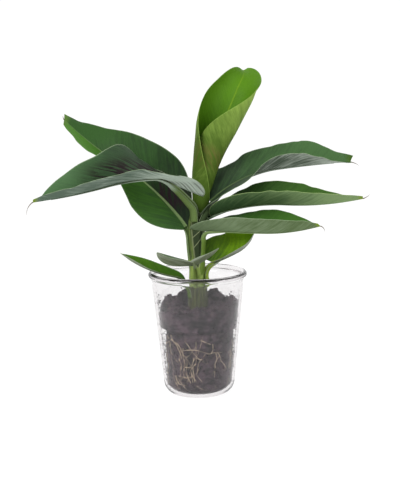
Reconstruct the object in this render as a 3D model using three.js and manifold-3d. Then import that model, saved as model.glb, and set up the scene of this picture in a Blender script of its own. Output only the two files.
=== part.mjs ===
// A young banana plant growing in a clear glass vase: millimetres, degrees, +Z up.
// The origin is the centre of the vase's flat underside, and -Y is the front of the plant.
import * as THREE from "three";
import { mergeVertices } from "three/addons/utils/BufferGeometryUtils.js";
import Module from "manifold-3d";

const wasm = await Module();
wasm.setup();

// Gap between neighbouring pieces, and the wider one that is cut between two leaves.
const CLEARANCE = 0.3;
const LEAF_CLEARANCE = 0.5;
const SHORT_EDGE = 0.02;

// The vase is a pressed tumbler shape with a rolled rim and a rounded foot.
const VASE = {
  height: 113,
  rimRadius: 45,
  wallTop: 42.4,
  wallFoot: 32.8,
  cornerRadius: 12,
  beadRadius: 2.2,
  lip: 5.3,
  wall: 2.8,
  floor: 4.5,
  facets: 40,
  arcSteps: 4,
};

// Potting soil: a narrow nursery root ball with loose soil heaped over it up to the glass.
const SOIL = {
  ballRadius: 30,
  ballTop: 66,
  ledgeTop: 72,
  heapTop: 84,
  heapRise: 9,
  lump: 1.6,
  tilt: 0.6,
  glassGap: 0.45,
  facets: 32,
};

// The false trunk of wrapped leaf sheaths: heights and radii from its cut foot to the fork.
const STEM = {
  heights: [70, 86, 104, 120, 142, 156, 170],
  radii: [9.4, 9.2, 8, 7.1, 7.4, 8.2, 9.2],
  facets: 20,
};

// Blade and petiole sizes that all the leaves share.
const LEAF = {
  petioleSteps: 7,
  petioleSides: 6,
  stalkRoot: 0.5,
  stalkEnd: 0.8,
  stalkDrop: 0.3,
  ribEnd: 0.8,
  ribTip: 0.7,
  tipShare: 0.03,
  overlap: 0.5,
  baseShare: 0.1,
  lobePower: 4,
};

// Each leaf starts at its root on the stem and follows a heading. The pitch above level and the
// yaw from +X towards +Y are given at the petiole's root and then at the stations along the blade.
// fold is the angle each half rises at the midrib, curl how far it bends on towards its margin,
// roll turns the blade about its midrib, and lobe is how far a half reaches back past its base.
const LEAVES = {
  leaf_front_left: {
    root: [0.2, -9, 161],
    petiole: 47,
    blade: 121,
    pitch: [85, 12, -14, -5],
    yaw: [200, 197, 202, 198],
    roll: [-28, -28, -25, -22],
    left: { width: 33.3, fold: [41, 48, 62], lobe: 34.5 },
    right: { width: 33.3, fold: [-8, 86, 41], lobe: 0 },
    widest: 0.35,
    taper: 1.72,
    thick: 1.8,
    stalk: 3.4,
    steps: 16,
    across: 3,
  },
  leaf_right_upper: {
    root: [0.9, -9, 161.5],
    petiole: 27.5,
    blade: 138.5,
    pitch: [90, 27, 8, 0],
    yaw: [20, 18, 14, 15],
    roll: [-5, -5, 6, 18],
    left: { width: 28.6, fold: [51, 35, 62], lobe: 0 },
    right: { width: 28.6, fold: [-23, 42, 14], lobe: 8 },
    widest: 0.51,
    taper: 2.25,
    thick: 1.7,
    stalk: 3.2,
    steps: 16,
    across: 3,
  },
  leaf_new_rolled: {
    root: [2.3, 9.5, 157],
    petiole: 13.5,
    blade: 144.5,
    stations: [0, 0.4, 0.8, 1],
    pitch: [88, 86, 66, 64, 17],
    yaw: [20, 23, 23, 25, 80],
    roll: [66, 74, 63, 47, 33],
    left: { width: 41.5, base: 1, fold: [2, 6, -17, 3], curl: [269, 121, 89, 25], lobe: 0 },
    right: { width: 55.5, base: 0.55, fold: [1, 13, -3, -2], curl: [236, 232, 80, 5], lobe: 0 },
    widest: 0.47,
    taper: 1.52,
    thick: 1.6,
    stalk: 3,
    steps: 20,
    across: 8,
  },
  leaf_right_middle: {
    root: [1.8, 0, 149],
    petiole: 24,
    blade: 130.5,
    pitch: [59, 20, -3, 14],
    yaw: [0, -18, -5, -4],
    roll: [6, 6, 4, 2],
    left: { width: 26.4, fold: [40, 48, 31], lobe: 0 },
    right: { width: 27, fold: [49, 36, 50], lobe: 5 },
    widest: 0.41,
    taper: 1.95,
    thick: 1.6,
    stalk: 3,
    steps: 16,
    across: 3,
  },
  leaf_right_lower: {
    root: [6.2, -5.2, 127],
    petiole: 33,
    blade: 91.5,
    pitch: [112, -1, -1, 24],
    yaw: [-20, -15, -16, -11],
    roll: [4, 4, 5, 5],
    left: { width: 25.6, fold: [45, 46, 47], lobe: 3 },
    right: { width: 25.7, fold: [52, 44, 53], lobe: 30 },
    widest: 0.47,
    taper: 1.9,
    thick: 1.4,
    stalk: 3,
    steps: 14,
    across: 3,
  },
  leaf_back_left: {
    root: [-7.2, 3.6, 131],
    petiole: 34,
    blade: 147.5,
    pitch: [96, 45, 32, 44],
    yaw: [150, 151, 163, 158],
    roll: [-60, -60, -46, -32],
    left: { width: 36, fold: [12, 57, 20], lobe: 6.5 },
    right: { width: 36, fold: [34, 26, 2], lobe: 1 },
    widest: 0.29,
    taper: 1.93,
    thick: 1.9,
    stalk: 3.4,
    steps: 16,
    across: 3,
  },
  leaf_right_small: {
    root: [5.8, -4, 101.5],
    petiole: 22.5,
    blade: 49,
    pitch: [108, 23, 19, 72],
    yaw: [10, 13, 14, 15],
    roll: [24, 24, 21, 18],
    left: { width: 23.5, fold: [42, 27, 40], lobe: 3.5 },
    right: { width: 23.3, fold: [37, 42, 45], lobe: 0 },
    widest: 0.35,
    taper: 1.9,
    thick: 1.1,
    stalk: 2.4,
    steps: 12,
    across: 3,
  },
  leaf_left_small: {
    root: [-7.5, -4, 90.5],
    petiole: 25.5,
    blade: 53.5,
    pitch: [93, 12, 27, 40],
    yaw: [180, 182, 183, 184],
    roll: [-30, -30, -26, -23],
    left: { width: 10.3, fold: [41, 43, 52], lobe: 0 },
    right: { width: 9.7, fold: [45, 42, 44], lobe: 10.5 },
    widest: 0.42,
    taper: 1.9,
    thick: 1.1,
    stalk: 1.7,
    steps: 12,
    across: 3,
  },
  leaf_front_small: {
    root: [-1.2, -7.4, 101.5],
    petiole: 22.7,
    blade: 60,
    pitch: [90, 29, 6, 16],
    yaw: [-93, -97, -92, -94],
    roll: [7, 7, 5, 3],
    left: { width: 29.6, fold: [22, 21, 24], lobe: 0 },
    right: { width: 30.2, fold: [-1, 29, 16], lobe: -4 },
    widest: 0.43,
    taper: 1.83,
    thick: 1.2,
    stalk: 2.4,
    steps: 12,
    across: 3,
  },
};
const HALF_STATIONS = [0, 0.5, 1];

const FINISH = {
  glass: { color: 0xe6ecec, roughness: 0.05, transparent: true, opacity: 0.35 },
  soil: { color: 0x40352f, roughness: 0.95 },
  stem: { color: 0x6b7f45, roughness: 0.6 },
  newLeaf: { color: 0x5a8a1f, roughness: 0.5 },
  leaf: { color: 0x34532f, roughness: 0.5 },
};

const rad = THREE.MathUtils.degToRad;

// Straight-line reading of values given at stations.
function ramp(stations, values, at) {
  let i = 0;
  while (i < stations.length - 2 && at > stations[i + 1]) i++;
  const share = (at - stations[i]) / (stations[i + 1] - stations[i]);
  return THREE.MathUtils.lerp(values[i], values[i + 1], THREE.MathUtils.clamp(share, 0, 1));
}

// A closed skin over rings with the same even count of points, each end closed by a strip.
function loft(rings) {
  const count = rings[0].length;
  const index = [];
  for (let i = 0; i + 1 < rings.length; i++) {
    for (let j = 0; j < count; j++) {
      const a = i * count + j;
      const b = i * count + ((j + 1) % count);
      index.push(a, b, b + count, a, b + count, a + count);
    }
  }
  const last = (rings.length - 1) * count;
  for (let j = 0; j + 1 < count / 2; j++) {
    const k = count - 1 - j;
    index.push(j, k, k - 1, j, k - 1, j + 1);
    index.push(last + j, last + j + 1, last + k - 1, last + j, last + k - 1, last + k);
  }
  return new THREE.BufferGeometry().setFromPoints(rings.flat()).setIndex(index);
}

// A solid that can be joined and cut. A skin that came out inside out is turned round.
function solid(geometry) {
  const bare = geometry.clone();
  bare.deleteAttribute("normal");
  bare.deleteAttribute("uv");
  const merged = mergeVertices(bare, 1e-4);
  const vertProperties = new Float32Array(merged.attributes.position.array);
  const triVerts = new Uint32Array(merged.index.array);
  const made = new wasm.Manifold(new wasm.Mesh({ numProp: 3, vertProperties, triVerts }));
  if (made.volume() > 0) return made;
  const turned = triVerts.map((v, i) => triVerts[i % 3 === 0 ? i : i % 3 === 1 ? i + 1 : i - 1]);
  return new wasm.Manifold(new wasm.Mesh({ numProp: 3, vertProperties, triVerts: turned }));
}

// The largest body of a cut solid, without edges too short to keep or loose scraps.
function largest(body) {
  const bodies = body.simplify(SHORT_EDGE).decompose();
  return bodies.sort((a, b) => b.volume() - a.volume())[0];
}

function meshOf(name, body, finish) {
  const cut = body.getMesh();
  const geometry = new THREE.BufferGeometry();
  geometry.setAttribute("position", new THREE.BufferAttribute(cut.vertProperties, 3));
  geometry.setIndex(new THREE.BufferAttribute(cut.triVerts, 1));
  geometry.computeVertexNormals();
  const mesh = new THREE.Mesh(geometry, new THREE.MeshStandardMaterial(finish));
  mesh.name = name;
  return mesh;
}

// A profile of radius and height turned about the Z axis.
function turned(points, facets) {
  return new THREE.LatheGeometry(points, facets).rotateX(Math.PI / 2);
}

// Radius at a height that stays an inset clear of the vase's inside: the round corner over its
// floor, then the sloping wall.
function vaseBore(height, inset) {
  const corner = VASE.cornerRadius - VASE.wall - inset;
  const foot = VASE.wallFoot - VASE.wall - inset;
  const top = VASE.wallTop - VASE.wall - inset;
  const centre = VASE.floor + VASE.cornerRadius - VASE.wall;
  const drop = Math.min(height - centre, 0);
  const wall = ramp([centre, VASE.height - VASE.lip], [foot, top], height);
  return wall + Math.sqrt(Math.max(corner ** 2 - drop ** 2, 0)) - corner;
}

function vaseGeometry() {
  const { height, rimRadius, wallTop, wallFoot, cornerRadius, beadRadius, lip, wall, floor } = VASE;
  const inner = cornerRadius - wall;
  const bead = rimRadius - beadRadius;
  const profile = new THREE.Path();
  profile.moveTo(0, 0);
  profile.lineTo(wallFoot - cornerRadius, 0);
  profile.absarc(wallFoot - cornerRadius, cornerRadius, cornerRadius, -Math.PI / 2, 0, false);
  profile.lineTo(wallTop, height - lip);
  profile.absarc(bead, height - beadRadius, beadRadius, -Math.PI / 2, Math.PI, false);
  profile.lineTo(wallTop - wall, height - lip);
  profile.absarc(wallFoot - wall - inner, floor + inner, inner, 0, -Math.PI / 2, true);
  profile.lineTo(0, floor);
  return turned(profile.getPoints(VASE.arcSteps), VASE.facets);
}

function stemGeometry(grow) {
  const profile = STEM.heights.map((z, i) => new THREE.Vector2(STEM.radii[i] + grow, z));
  profile[0].y -= grow;
  profile[profile.length - 1].y += grow;
  const foot = new THREE.Vector2(0, profile[0].y);
  const top = new THREE.Vector2(0, profile[profile.length - 1].y);
  return turned([foot, ...profile, top], STEM.facets);
}

// Soil rings go out over the foot, up the root ball, over the ledge and in across the heap, and
// none reaches the glass. The heap is lumpy, and higher behind the stem than in front of it.
function soilGeometry() {
  const foot = VASE.floor + SOIL.glassGap;
  const low = [0, 0.1, 0.3, 0.6, 1].map((share) => foot + share * VASE.cornerRadius);
  const outline = [
    [SOIL.ballRadius * 0.4, foot, 0],
    ...low.map((z) => [SOIL.ballRadius, z, 0]),
    [SOIL.ballRadius, SOIL.ballTop, 0],
    [VASE.wallTop, SOIL.ledgeTop, 0],
    [VASE.wallTop, SOIL.heapTop, 0.6],
    [SOIL.ballRadius, SOIL.heapTop + 2, 1],
    [SOIL.ballRadius * 0.6, SOIL.heapTop + 1, 1],
    [SOIL.ballRadius * 0.2, SOIL.heapTop, 1],
  ];
  return loft(
    outline.map(([radius, height, heaped]) =>
      Array.from({ length: SOIL.facets }, (_, j) => {
        const turn = (j / SOIL.facets) * 2 * Math.PI;
        const rise = SOIL.heapRise * Math.sin(turn) * (radius / SOIL.ballRadius);
        const lumps = SOIL.lump * (Math.sin(5 * turn + radius) + Math.sin(8 * turn - height));
        const z = height + heaped * (rise * SOIL.tilt + lumps);
        const r = Math.min(radius, vaseBore(z, SOIL.glassGap));
        return new THREE.Vector3(r * Math.cos(turn), r * Math.sin(turn), z);
      }),
    ),
  );
}

function heading(pitch, yaw) {
  const level = Math.cos(rad(pitch));
  return new THREE.Vector3(
    level * Math.cos(rad(yaw)),
    level * Math.sin(rad(yaw)),
    Math.sin(rad(pitch)),
  );
}

// Frames along a leaf's midrib, from the petiole's root to the blade's tip. The midrib is the sum
// of short steps along the heading, and side and up are rolled about it. t is 0 at the blade's
// base and 1 at its tip, and below 0 on the petiole.
function midrib(leaf) {
  const shares = leaf.stations ?? HALF_STATIONS;
  const stations = [0, ...shares.map((share) => leaf.petiole + leaf.blade * share)];
  const places = [];
  for (let i = 0; i < LEAF.petioleSteps; i++) places.push((leaf.petiole * i) / LEAF.petioleSteps);
  for (let i = 0; i <= leaf.steps; i++) places.push(leaf.petiole + (leaf.blade * i) / leaf.steps);
  const point = new THREE.Vector3(...leaf.root);
  return places.map((place, i) => {
    if (i > 0) {
      const middle = (place + places[i - 1]) / 2;
      const pitch = ramp(stations, leaf.pitch, middle);
      const yaw = ramp(stations, leaf.yaw, middle);
      point.addScaledVector(heading(pitch, yaw), place - places[i - 1]);
    }
    const yaw = ramp(stations, leaf.yaw, place);
    const along = heading(ramp(stations, leaf.pitch, place), yaw);
    const level = new THREE.Vector3(-Math.sin(rad(yaw)), Math.cos(rad(yaw)), 0);
    const roll = rad(ramp(stations, leaf.roll, place));
    return {
      t: (place - leaf.petiole) / leaf.blade,
      place,
      point: point.clone(),
      along,
      side: level.clone().applyAxisAngle(along, roll),
      up: along.clone().cross(level).applyAxisAngle(along, roll),
    };
  });
}

// Share of the full half-width: an elliptic shoulder up to the widest place, then a taper.
function widthShare(leaf, half, t) {
  const base = half.base ?? LEAF.baseShare;
  const shoulder = Math.sqrt(1 - (1 - Math.min(t / leaf.widest, 1)) ** 2);
  const past = Math.max(0, (t - leaf.widest) / (1 - leaf.widest));
  return Math.max((base + (1 - base) * shoulder) * (1 - past ** leaf.taper), LEAF.tipShare);
}

// Points along one half-blade's section, from just past the midrib to the margin. Across the half
// the slope runs evenly from fold to fold plus curl, so the section is a straight line or an arc.
function halfSection(leaf, half, sign, frame, grow) {
  const shares = leaf.stations ?? HALF_STATIONS;
  const fold = rad(ramp(shares, half.fold, frame.t));
  const curl = rad(half.curl ? ramp(shares, half.curl, frame.t) : 0);
  const width = half.width * widthShare(leaf, half, frame.t);
  return Array.from({ length: leaf.across + 1 }, (_, j) => {
    const v = j === 0 ? -LEAF.overlap / width : ((1 + grow / width) * j) / leaf.across;
    const slope = fold + curl * v;
    const out = curl ? (Math.sin(slope) - Math.sin(fold)) / curl : v * Math.cos(fold);
    const rise = curl ? (Math.cos(fold) - Math.cos(slope)) / curl : v * Math.sin(fold);
    const back = half.lobe * (1 - frame.t) ** LEAF.lobePower * Math.max(v, 0) ** 2;
    const point = frame.point
      .clone()
      .addScaledVector(frame.side, sign * width * out)
      .addScaledVector(frame.up, width * rise)
      .addScaledVector(frame.along, -back);
    const normal = frame.up
      .clone()
      .multiplyScalar(Math.cos(slope))
      .addScaledVector(frame.side, -sign * Math.sin(slope));
    return { point, normal };
  });
}

// Moves an end row of the blade outwards, square to the row and away from the next one.
function growEnd(row, next, grow) {
  const from = row.map((spot) => spot.point.clone());
  row.forEach((spot, j) => {
    const before = from[Math.max(j - 1, 0)];
    const after = from[Math.min(j + 1, from.length - 1)];
    const edge = after.clone().sub(before).normalize();
    const away = from[j].clone().sub(next[j].point);
    away.addScaledVector(edge, -away.dot(edge)).normalize();
    spot.point.addScaledVector(away, grow);
  });
}

// Half of the blade as a sheet of even thickness. Each ring runs over its upper face from the
// midrib to the margin and back under its lower face.
function halfGeometry(leaf, half, sign, frames, grow) {
  const depth = leaf.thick / 2 + grow;
  const blade = frames.filter((frame) => frame.t >= 0);
  const rows = blade.map((frame) => halfSection(leaf, half, sign, frame, grow));
  growEnd(rows[0], rows[1], grow);
  growEnd(rows.at(-1), rows.at(-2), grow);
  return loft(
    rows.map((row) => {
      const face = (side) =>
        row.map((spot) => spot.point.clone().addScaledVector(spot.normal, side * depth));
      return [...face(1), ...face(-1).reverse()];
    }),
  );
}

// The petiole, slim where it leaves the stem, which runs on under the blade as its tapering midrib.
function petioleGeometry(leaf, frames, grow) {
  const end = leaf.petiole + leaf.blade * LEAF.ribEnd;
  const stalk = frames.filter((frame) => frame.place <= end);
  const places = [0, leaf.petiole / 2, leaf.petiole, end];
  const radii = [leaf.stalk * LEAF.stalkRoot, leaf.stalk, leaf.stalk * LEAF.stalkEnd, LEAF.ribTip];
  return loft(
    stalk.map((frame, i) => {
      const radius = ramp(places, radii, frame.place);
      const move = i === 0 ? -grow : i === stalk.length - 1 ? grow : 0;
      const centre = frame.point.clone().addScaledVector(frame.along, move);
      return Array.from({ length: LEAF.petioleSides }, (_, j) => {
        const turn = ((j + 0.5) / LEAF.petioleSides) * 2 * Math.PI;
        return centre
          .clone()
          .addScaledVector(frame.side, (radius + grow) * Math.cos(turn))
          .addScaledVector(frame.up, (radius + grow) * Math.sin(turn) - radius * LEAF.stalkDrop);
      });
    }),
  );
}

function leafSolid(leaf, grow) {
  const frames = midrib(leaf);
  return solid(halfGeometry(leaf, leaf.left, 1, frames, grow))
    .add(solid(halfGeometry(leaf, leaf.right, -1, frames, grow)))
    .add(solid(petioleGeometry(leaf, frames, grow)));
}

const plant = new THREE.Group();
plant.name = "banana_plant_in_glass_vase";

const vase = solid(vaseGeometry());
plant.add(meshOf("glass_vase", vase, FINISH.glass));

const stem = solid(stemGeometry(0));
const stemRoom = solid(stemGeometry(CLEARANCE));
plant.add(meshOf("pseudostem", stem, FINISH.stem));

// Each leaf is cut clear of the stem and of the leaves that were there before it.
let taken = stemRoom;
for (const [name, leaf] of Object.entries(LEAVES)) {
  const body = largest(leafSolid(leaf, 0).subtract(taken));
  plant.add(meshOf(name, body, name === "leaf_new_rolled" ? FINISH.newLeaf : FINISH.leaf));
  taken = taken.add(leafSolid(leaf, LEAF_CLEARANCE));
}

const soil = largest(solid(soilGeometry()).subtract(taken));
plant.add(meshOf("soil_plug", soil, FINISH.soil));

export default plant;
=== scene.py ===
import bmesh
import bpy
import numpy as np
from mathutils import Matrix


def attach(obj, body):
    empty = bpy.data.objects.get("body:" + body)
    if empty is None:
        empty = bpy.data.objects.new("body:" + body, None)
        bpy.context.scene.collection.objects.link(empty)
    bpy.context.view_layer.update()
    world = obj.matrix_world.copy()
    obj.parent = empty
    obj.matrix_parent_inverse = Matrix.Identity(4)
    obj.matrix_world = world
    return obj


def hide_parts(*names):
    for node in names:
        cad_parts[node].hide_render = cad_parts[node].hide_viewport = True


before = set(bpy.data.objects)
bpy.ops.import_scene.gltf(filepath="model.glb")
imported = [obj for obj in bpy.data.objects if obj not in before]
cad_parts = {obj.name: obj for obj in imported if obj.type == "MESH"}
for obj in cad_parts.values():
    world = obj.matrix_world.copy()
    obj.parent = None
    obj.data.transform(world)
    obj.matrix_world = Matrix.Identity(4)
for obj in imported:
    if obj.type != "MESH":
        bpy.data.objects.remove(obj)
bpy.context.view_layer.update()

# Glass vase
# A pressed tumbler of clear soda glass with a rolled rim, straight tapering walls and a heavy
# rounded foot. It is one piece, fire-polished, and carries the peat and the plant.
MM = 0.001
VASE = {
    "height": 113.0,
    "wall_top": 42.4,
    "wall_foot": 32.8,
    "corner": 12.0,
    "lip": 5.3,
    "wall": 2.4,
    "floor": 2.9,
}
LIP_OUTLINE = [
    (42.2, 105.6), (42.6, 107.2), (43.6, 108.3), (44.8, 109.2), (45.1, 110.6), (44.6, 112.2),
    (43.3, 113.1), (42.0, 113.1), (40.9, 112.3), (40.4, 110.8), (40.1, 108.6), (39.8, 106.0),
]
GLASS_TINT = (0.985, 0.985, 0.985, 1.0)
# A dark band round the rim's bead is painted shade: it stands for the dark line that refraction in
# the thick glass shows there.
GLASS_RIM_SHADE = (0.01, 0.01, 0.01)
RIM_SHADE_LEVEL = 112.0
RIM_SHADE_HALF = 0.9
GLASS_DEPTH = (0.72, 0.68, 0.69, 1.0)
GLASS_DENSITY = 90.0
GLASS_ROUGHNESS = 0.015
GLASS_IOR = 1.45


def new_piece(name, points, faces, marks=None):
    """Object at the origin from points in millimetres, faces, and named values by point."""
    mesh = bpy.data.meshes.new(name)
    mesh.from_pydata((np.asarray(points) * MM).tolist(), [], np.asarray(faces).tolist())
    mesh.update()
    mesh.polygons.foreach_set("use_smooth", np.ones(len(mesh.polygons), bool))
    for key, values in (marks or {}).items():
        layer = mesh.attributes.new(key, "FLOAT", "POINT")
        layer.data.foreach_set("value", np.asarray(values, np.float32).ravel())
    piece = bpy.data.objects.new(name, mesh)
    bpy.context.scene.collection.objects.link(piece)
    return piece


def close_up(piece):
    """Merges the doubled points at poles and seams, and points every face outwards."""
    work = bmesh.new()
    work.from_mesh(piece.data)
    bmesh.ops.remove_doubles(work, verts=work.verts, dist=MM * 1e-3)
    bmesh.ops.recalc_face_normals(work, faces=work.faces)
    work.to_mesh(piece.data)
    work.free()


def arc(centre, radius, start, end, count):
    """Points of a circle about centre, from one angle to another in degrees."""
    turn = np.radians(np.linspace(start, end, count))
    return np.stack([centre[0] + radius * np.cos(turn), centre[1] + radius * np.sin(turn)], -1)


def line(start, end, count):
    """Evenly spaced points from start to just before end."""
    share = np.linspace(0, 1, count, endpoint=False)[:, None]
    return np.asarray(start) * (1 - share) + np.asarray(end) * share


def smooth_path(stops, count):
    """Evenly shared points on a curve through the stops, rounded by repeated averaging."""
    stops = np.asarray(stops, float)
    share = np.linspace(0, len(stops) - 1, count)
    path = np.stack([np.interp(share, np.arange(len(stops)), axis) for axis in stops.T], -1)
    for _ in range(count // len(stops)):
        path[1:-1] = (path[:-2] + 2 * path[1:-1] + path[2:]) / 4
    return path


def lathe(profile, facets):
    """Surface of revolution: each profile point (radius, height) is carried round the Z axis."""
    turn = np.linspace(0, 2 * np.pi, facets, endpoint=False)
    radius, height = np.asarray(profile).T[:, :, None]
    grid = np.stack([radius * np.cos(turn), radius * np.sin(turn), height + 0 * turn], -1)
    return grid.reshape(-1, 3), ring_faces(len(profile), facets)


def ring_faces(rows, count):
    """Four-cornered faces between neighbouring rings of count points, closed round each ring."""
    i, j = np.meshgrid(np.arange(rows - 1), np.arange(count), indexing="ij")
    k = (j + 1) % count
    corners = [i * count + j, i * count + k, (i + 1) * count + k, (i + 1) * count + j]
    return np.stack(corners, -1).reshape(-1, 4)


def bore(height):
    """Inner radius of the vase at a height: the round corner over its floor, then the wall."""
    inner = VASE["corner"] - VASE["wall"]
    centre = VASE["floor"] + inner
    ends = [centre, VASE["height"] - VASE["lip"]]
    wall = np.interp(height, ends, [VASE["wall_foot"], VASE["wall_top"]]) - VASE["wall"]
    drop = np.clip(centre - height, 0, inner)
    return wall + np.sqrt(inner**2 - drop**2) - inner


def vase_profile():
    """Outline of the glass from the middle of its underside, up outside and down inside."""
    v = VASE
    inner = v["corner"] - v["wall"]
    foot = v["wall_foot"] - v["corner"]
    corner_top = v["floor"] + inner
    lip = smooth_path(LIP_OUTLINE, 60)
    return np.concatenate(
        [
            line((0, 0), (foot, 0), 6),
            arc((foot, v["corner"]), v["corner"], -90, 0, 16)[:-1],
            line((v["wall_foot"], v["corner"]), lip[0], 24),
            lip,
            line(lip[-1], (bore(corner_top), corner_top), 24)[1:],
            arc((foot, corner_top), inner, 0, -90, 14)[:-1],
            line((foot, v["floor"]), (0, v["floor"]), 5),
            [(0, v["floor"])],
        ]
    )


class Shade:
    """Wraps a shader socket, so that shader maths reads as an expression on values."""

    def __init__(self, tree, socket=None):
        self.tree = tree
        self.socket = socket

    def node(self, kind, settings=None, inputs=None, out=0):
        """Adds a node, sets its settings, then gives its sockets values or links."""
        made = self.tree.nodes.new("ShaderNode" + kind)
        for key, value in (settings or {}).items():
            setattr(made, key, value)
        for key, value in (inputs or {}).items():
            if isinstance(value, Shade):
                self.tree.links.new(value.socket, made.inputs[key])
            else:
                made.inputs[key].default_value = value
        return Shade(self.tree, made.outputs[out])

    def math(self, operation, other=0.0):
        """One Math node on this value and another."""
        return self.node("Math", {"operation": operation}, {0: self, 1: other})

    def __add__(self, other):
        return self.math("ADD", other)

    __radd__ = __add__

    def __mul__(self, other):
        return self.math("MULTIPLY", other)

    __rmul__ = __mul__

    def __sub__(self, other):
        return self.math("SUBTRACT", other)

    def __rsub__(self, other):
        return self.node("Math", {"operation": "SUBTRACT"}, {0: other, 1: self})

    def __abs__(self):
        return self.math("ABSOLUTE")

    def rise(self, low, high):
        """0 below low, 1 above high, smooth between."""
        settings = {"interpolation_type": "SMOOTHSTEP"}
        return self.node("MapRange", settings, {"Value": self, "From Min": low, "From Max": high})

    def colour(self, at_zero, at_one):
        """Colour that goes from one at 0 to another at 1."""
        ends = [end if isinstance(end, Shade) else (*end[:3], 1.0) for end in (at_zero, at_one)]
        settings = {"data_type": "RGBA", "clamp_factor": True}
        return self.node("Mix", settings, {0: self, 6: ends[0], 7: ends[1]}, 2)

    def mark(self, name):
        """Value by point that the mesh carries under a name."""
        return self.node("Attribute", {"attribute_name": name}, out=2)

    def grain(self, size, detail=3.0, stretch=(1, 1, 1)):
        """Noise over Object coordinates with grains of about a size in millimetres."""
        place = self.node("TexCoord", out=3)
        scale = tuple(1 / s for s in stretch)
        spot = self.node("Mapping", {}, {"Vector": place, "Scale": scale})
        inputs = {"Vector": spot, "Scale": 1 / (size * MM), "Detail": detail}
        return self.node("TexNoise", {}, inputs)

    def bump(self, height, depth):
        """Normal of a relief, with its depth in millimetres."""
        return self.node("Bump", {}, {"Height": height, "Strength": 1.0, "Distance": depth * MM})


def new_material(name, inputs=None):
    """Material with one Principled shader, and the Shade that adds nodes to it."""
    material = bpy.data.materials.new(name)
    material.use_nodes = True
    shade = Shade(material.node_tree)
    skin = material.node_tree.nodes["Principled BSDF"]
    for key, value in (inputs or {}).items():
        skin.inputs[key].default_value = value
    return material, shade, skin


def feed(shade, skin, **inputs):
    """Links worked-out values to the Principled shader's sockets."""
    for key, value in inputs.items():
        shade.tree.links.new(value.socket, skin.inputs[key.replace("_", " ")])


def clear_glass():
    """Clear glass with painted shade on the marked band of its rim's bead, that lets lamps
    through and so casts only a faint shadow, and that darkens with its depth."""
    inputs = {
        "Roughness": GLASS_ROUGHNESS,
        "IOR": GLASS_IOR,
        "Transmission Weight": 1.0,
    }
    material, shade, skin = new_material("clear_glass", inputs)
    # Painted shade: the marked band on the rim's bead takes a dark glass colour.
    feed(shade, skin, Base_Color=shade.mark("rim_shade").colour(GLASS_TINT, GLASS_RIM_SHADE))
    lamp = shade.node("LightPath", out=1)
    through = shade.node("BsdfTransparent", {}, {"Color": GLASS_TINT})
    glass = Shade(shade.tree, skin.outputs[0])
    mixed = shade.node("MixShader", {}, {0: lamp, 1: glass, 2: through})
    output = material.node_tree.nodes["Material Output"]
    shade.tree.links.new(mixed.socket, output.inputs["Surface"])
    depth = shade.node("VolumeAbsorption", {}, {"Color": GLASS_DEPTH, "Density": GLASS_DENSITY})
    shade.tree.links.new(depth.socket, output.inputs["Volume"])
    return material


vase_points, vase_faces = lathe(vase_profile(), facets=160)
# The band of painted shade round the outside of the rim's bead.
off_level = np.abs(vase_points[:, 2] - RIM_SHADE_LEVEL) / RIM_SHADE_HALF
on_bead = np.hypot(vase_points[:, 0], vase_points[:, 1]) > VASE["wall_top"]
vase_marks = {"rim_shade": np.clip(2 - 2 * off_level, 0, 1) * on_bead}
vase = new_piece("glass_vase_clear", vase_points, vase_faces, vase_marks)
close_up(vase)
vase.data.materials.append(clear_glass())
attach(vase, "root")
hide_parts("glass_vase")

# Peat
# Damp dark peat in two parts: the narrow nursery root ball that came out of its pot, and looser
# peat that was heaped over its shoulder up to the glass, with crumbs on top and on the wall.
PEAT = {
    "ball_centre": (1.2, 0.0),
    "ball_radius": 30.6,
    "ball_top": 60.0,
    "ledge_top": 66.0,
    "ledge_reach": 1.28,
    "brim": 80.0,
    "glass_gap": 0.45,
}
PEAT_ROWS = {"floor": 10, "side": 70, "ledge": 12, "wall": 18, "heap": 70}
HEAP_LEVEL = 79.5
HEAP_CLUMPS = [
    {"at": (0, -36), "rise": 2.0, "size": 14},
    {"at": (-38, -2), "rise": -8.0, "size": 8},
    {"at": (-25, 14), "rise": 7.5, "size": 8},
    {"at": (-10, 20), "rise": 11.0, "size": 8},
    {"at": (8, 21), "rise": 7.5, "size": 9},
    {"at": (19, 17), "rise": 8.0, "size": 7},
    {"at": (31, 4), "rise": 8.0, "size": 6},
    {"at": (38, -8), "rise": 6.0, "size": 9},
    {"at": (0, 36), "rise": 6.0, "size": 16},
]
# Layers of roughness, each with its height, the size of its lumps and its seed.
HEAP_LUMPS = [(2.0, 7.0, 3), (1.3, 3.4, 4)]
HEAP_GRIT = [(0.8, 2.0, 7)]
SIDE_LUMPS = [(0.9, 7.0, 5), (0.6, 2.6, 6)]
HEAP_CRUMBS = {"count": 700, "reach": 35.0, "least": 0.5, "spread": 1.5}
GLASS_CRUMBS = {"count": 1400, "levels": (8, 88), "left_share": 0.35, "least": 0.25, "spread": 0.9}
PEAT_DARK = (0.006, 0.004, 0.006)
PEAT_MID = (0.064, 0.042, 0.054)
PEAT_FIBRE = (0.14, 0.10, 0.085)
# Heights, and how much darker the peat is made there: down its side, and over the floor.
SIDE_DARKENING = ((20.0, 55.0), (0.3, 0.0))
FLOOR_DARKENING = ((6.0, 10.0), (0.6, 0.0))


def lumps(points, size, seed):
    """Smooth noise from -1 to 1: random values on a cubic lattice of a size, blended between."""
    table = np.random.default_rng(seed).uniform(-1, 1, (16, 16, 16))
    cell = np.asarray(points) / size
    low = np.floor(cell).astype(int)
    share = cell - low
    share = share * share * (3 - 2 * share)
    total = np.zeros(cell.shape[:-1])
    for corner in np.ndindex(2, 2, 2):
        weight = np.prod(np.where(corner, share, 1 - share), axis=-1)
        spot = np.moveaxis((low + corner) % 16, -1, 0)
        total += weight * table[tuple(spot)]
    return total


def rough(points, layers):
    """Sum of lumps over layers of a height, a size and a seed."""
    return sum(height * lumps(points, size, seed) for height, size, seed in layers)


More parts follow.
